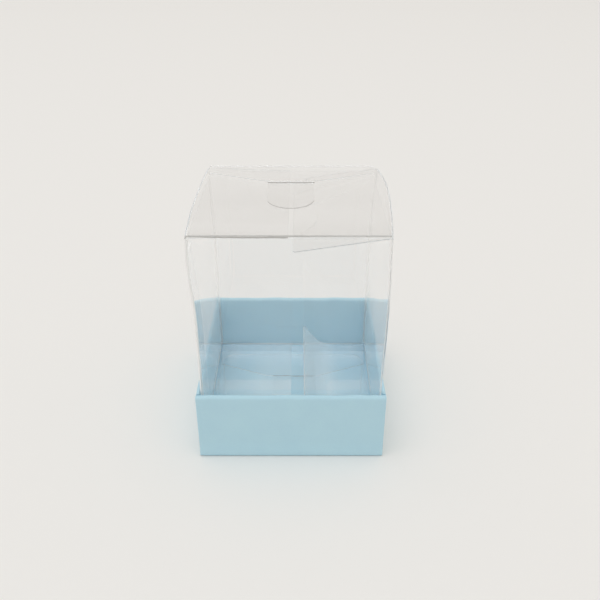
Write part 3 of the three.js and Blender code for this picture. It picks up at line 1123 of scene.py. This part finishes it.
@dataclass
class CardTray:
    """The card tray: four walls that roll over into their own lining, on one floor.

    Sizes are in millimetres. ripple_waves are the short and the long wave along the rim, in radians
    for each millimetre, and rim_turn is the quarter turn from the rim's side to its top, in radians.
    """
    card_finish: bpy.types.Material
    half_x: float = 26.2
    half_y: float = 26.7
    lining_x: float = 25.3
    lining_y: float = 25.05
    card: float = 0.45
    height: float = 21.4
    ripple: float = 0.22
    back_rise: float = 0.8
    foot: float = 0.4
    foot_rise: float = 0.25
    front_flare: float = 0.4
    flare_height: float = 5.0
    ripple_depth: float = 6.0
    ripple_waves: tuple[float, float] = (0.47, 0.15)
    ply_gap: float = 0.02
    ply_skin: float = 0.01
    rim_gap: float = 0.001
    lining_room: float = 0.05
    rim_turn: float = 1.57
    turn_room: float = 0.2
    facet: float = 1.5
    columns: int = 41

    def strip(self, side: Side) -> bpy.types.Object:
        """Folds one wall: up from the floor, over the rim in a half round, and down as the lining.

        The rim sinks by a slow wave along it, which is the product of a sine and a cosine and fades
        out a few millimetres down. The back rim stands a little higher, and the front wall's foot
        flares out.

        Args:
            side: Which wall.

        Returns:
            The folded strip.
        """
        axis, sign = side.value
        outer, lining = (self.half_x, self.lining_x) if axis == 0 else (self.half_y, self.lining_y)
        c = self.card / 2
        rim = (outer - lining) / 2
        path = FoldPath.through(
            [(outer - self.card - self.foot, c), (outer - c, c + self.foot_rise),
             (outer - c, self.height - c), (lining + c, self.height - c),
             (lining + c, self.card + self.ply_gap)],
            [c + self.foot, rim - c - self.rim_gap, rim - c - self.rim_gap],
            step=self.facet, turn_step=15)
        up = path.lengths[np.argmax(path.points[:, 1])]
        over = path.lengths[-1]
        # The side walls lie between the front and back ones, and are narrower over the rim
        if axis == 0:
            wide = self.half_y - self.card - self.ply_gap
            narrow = self.lining_y - self.lining_room
            turn = up - rim * self.rim_turn - self.turn_room
        else:
            wide = self.half_x
            narrow = self.half_x - self.card - self.ply_gap
            turn = up + rim * self.rim_turn
        outline = [(-wide, 0), (wide, 0), (wide, turn), (narrow, turn), (narrow, over),
                   (-narrow, over), (-narrow, turn), (-wide, turn)]
        columns = np.linspace(-wide, wide, self.columns)
        flat, triangles = cut_blank(np.array(outline), path.lengths[1:-1], columns)
        sz = path.at(flat[:, 1])
        across = flat[:, 0]
        near_rim = smooth((sz[:, 1] - self.height + self.ripple_depth) / self.ripple_depth)
        short, long = self.ripple_waves
        wave = self.ripple * np.sin(across * short + sign) * np.cos(across * long + axis)
        z = sz[:, 1] - near_rim * (self.ripple + wave) * 0.5
        if side is Side.BACK:
            z += self.back_rise * smooth(sz[:, 1] / self.height)
        most = self.front_flare if side is Side.FRONT else 0.0
        flare = most * smooth(1 - sz[:, 1] / self.flare_height)
        outwards = sign * (sz[:, 0] + flare * (sz[:, 0] > outer - self.card))
        points = np.column_stack([outwards, across, z] if axis == 0 else [across, outwards, z])
        return thick_sheet(f"card_{side.name.lower()}_wall", points, triangles,
                           self.card - self.ply_skin, (self.card_finish, self.card_finish))

    def build(self, frame: dict) -> list[bpy.types.Object]:
        """Makes the four strips and dresses the floor and the corner tabs.

        Args:
            frame: The loaded frame, whose floor and tabs get the card's finish.

        Returns:
            The strips.
        """
        made = []
        for side in Side:
            piece = self.strip(side)
            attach(piece, "tray")
            lower = side.name.lower()
            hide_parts(f"tray_{lower}_wall", f"tray_{lower}_turn_in")
            made.append(piece)
        tabs = [f"tray_{end}_{side}_tab" for end in ("front", "back") for side in ("left", "right")]
        for name in ("tray_floor", *tabs):
            node = frame["nodes"][name]
            node.data.materials.clear()
            node.data.materials.append(self.card_finish)
        return made


# Studio

@dataclass
class Studio:
    """Pale paper floor, soft light from all round, a softbox above, and the camera.

    Places are in metres and angles in degrees. sky_heights are the places of the three middle
    shades between the horizon, at 0, and the zenith, at 1.
    """
    floor_radius: float = 6.0
    horizon: str = "E4E2DF"
    mid_sky: str = "D9D6D2"
    low_sky: str = "B9B5B0"
    high_sky: str = "DDD9D4"
    zenith: str = "D6D2CD"
    front: str = "D6D2CD"
    sky_strength: float = 1.1
    key_power: float = 42.0
    key_size: tuple[float, float] = (3.6, 2.8)
    key_place: tuple[float, float, float] = (-0.5, -0.7, 3.5)
    key_aim: tuple[float, float, float] = (0.0, 0.0, 0.03)
    key_tint: str = "E8F4FF"
    floor_sides: int = 96
    sky_heights: tuple[float, float, float] = (0.34, 0.43, 0.58)
    front_fade: tuple[float, float] = (-0.5, 0.3)
    lens: float = 41.41
    sensor: float = 36.0
    eye_place: tuple[float, float, float] = (0.0025, -0.17535, 0.1407)
    eye_tilt: float = 59.29
    clip: tuple[float, float] = (0.01, 20.0)
    clear_bounces: int = 128
    see_through_bounces: int = 48
    glossy_bounces: int = 96
    diffuse_bounces: int = 10

    def floor(self) -> None:
        """Lays the round paper floor."""
        sides = self.floor_sides
        angle = np.linspace(0, 2 * math.pi, sides + 1)[:-1]
        circle = np.column_stack([np.cos(angle), np.sin(angle), np.zeros(sides)])
        points = circle * self.floor_radius / MM
        piece = write_mesh("paper_floor", points, [list(range(sides))], np.zeros(1),
                           [SeamlessPaper().material()])

    def sky(self) -> None:
        """Sets soft light from all round, darkest a little under half way up.

        In front the sky is even, and it turns to the graded sky over a smooth step of the depth.
        """
        world = bpy.data.worlds.new("studio_light")
        bpy.context.scene.world = world
        world.use_nodes = True
        tree = world.node_tree
        tree.nodes.clear()
        place = add_node(tree, "ShaderNodeTexCoord")
        split = add_node(tree, "ShaderNodeSeparateXYZ", {"Vector": place.outputs["Generated"]})
        ramp = add_node(tree, "ShaderNodeValToRGB", {"Fac": split.outputs["Z"]})
        stops = ramp.color_ramp.elements
        stops[0].position, stops[0].color = 0.0, hex_to_linear(self.horizon)
        stops[1].position, stops[1].color = 1.0, hex_to_linear(self.zenith)
        for height, shade in zip(self.sky_heights, (self.mid_sky, self.low_sky, self.high_sky)):
            stops.new(height).color = hex_to_linear(shade)
        ahead = add_node(tree, "ShaderNodeMapRange", {
            "Value": split.outputs["Y"], "From Min": self.front_fade[0],
            "From Max": self.front_fade[1], "To Min": 1.0, "To Max": 0.0},
            interpolation_type="SMOOTHSTEP")
        both = add_node(tree, "ShaderNodeMix", {
            0: ahead.outputs["Result"], 6: ramp.outputs["Color"], 7: hex_to_linear(self.front)},
            data_type="RGBA")
        light = add_node(tree, "ShaderNodeBackground",
                         {"Color": both.outputs[2], "Strength": self.sky_strength})
        add_node(tree, "ShaderNodeOutputWorld", {"Surface": light.outputs[0]})

    def key(self) -> None:
        """Hangs a large softbox above the left and the front."""
        data = bpy.data.lights.new("softbox", "AREA")
        data.shape = "RECTANGLE"
        data.size, data.size_y = self.key_size
        data.energy = self.key_power
        data.color = hex_to_linear(self.key_tint)[:3]
        lamp = bpy.data.objects.new("softbox", data)
        bpy.context.scene.collection.objects.link(lamp)
        lamp.location = self.key_place
        aim = Vector(self.key_aim) - lamp.location
        lamp.rotation_euler = aim.to_track_quat("-Z", "Y").to_euler()

    def camera(self) -> None:
        """Sets the camera where the photograph's was."""
        data = bpy.data.cameras.new("camera")
        data.lens, data.sensor_width = self.lens, self.sensor
        eye = bpy.data.objects.new("camera", data)
        bpy.context.scene.collection.objects.link(eye)
        eye.location = self.eye_place
        eye.rotation_euler = (math.radians(self.eye_tilt), 0, 0)
        data.clip_start, data.clip_end = self.clip
        bpy.context.scene.camera = eye

    def build(self) -> None:
        """Builds the studio and sets how light passes the clear sheets.

        The creases and edges of clear sheet need many bounces, or they turn into thick dark lines.
        """
        self.floor()
        self.sky()
        self.key()
        self.camera()
        scene = bpy.context.scene
        scene.view_settings.view_transform = "Standard"
        scene.cycles.max_bounces = self.clear_bounces
        scene.cycles.transmission_bounces = self.clear_bounces
        scene.cycles.transparent_max_bounces = self.see_through_bounces
        scene.cycles.glossy_bounces = self.glossy_bounces
        scene.cycles.diffuse_bounces = self.diffuse_bounces


def main(frame: dict) -> None:
    """Builds the studio, the tray and the clear box in order, and reports each piece.

    Args:
        frame: The loaded frame.
    """
    Studio().build()
    card = BlueCard().material()
    made = CardTray(card).build(frame)
    worn = CutPetEdge("worn_pet_edge", "E2E6E8", through=0.4)
    # Painted shade: grey cut edges for the slit and the tongue, darker grey for the top left dust
    # flap's front edge
    painted_dark = CutPetEdge("pet_edge_painted_shade", "D2D0CD", through=0.2)
    shaded = CutPetEdge("shaded_pet_edge", "BEBCB9")
    # The hard crease's grey is painted shade, on top of its milky score
    hard = ScoredPet("hard_scored_pet_crease", "CCCBC8", through=0.5)
    # Painted sheen: a matt white veil on the base flaps and low on the side walls
    rubbed = ClearPet("pet_sheet_painted_sheen", haze=0.2)
    made += ClearBox(pet=ClearPet().material(), edge=CutPetEdge().material(),
                     score=ScoredPet().material(), worn_edge=worn.material(),
                     dull_edge=painted_dark.material(), hard_score=hard.material(),
                     shaded_edge=shaded.material(), rubbed=rubbed.material()).build()
    for piece in made:
        LOG.info("%s: %d faces", piece.name, len(piece.data.polygons))


if __name__ == "__main__":
    logging.basicConfig(level=logging.INFO, format="%(message)s")
    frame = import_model()
    main(frame)
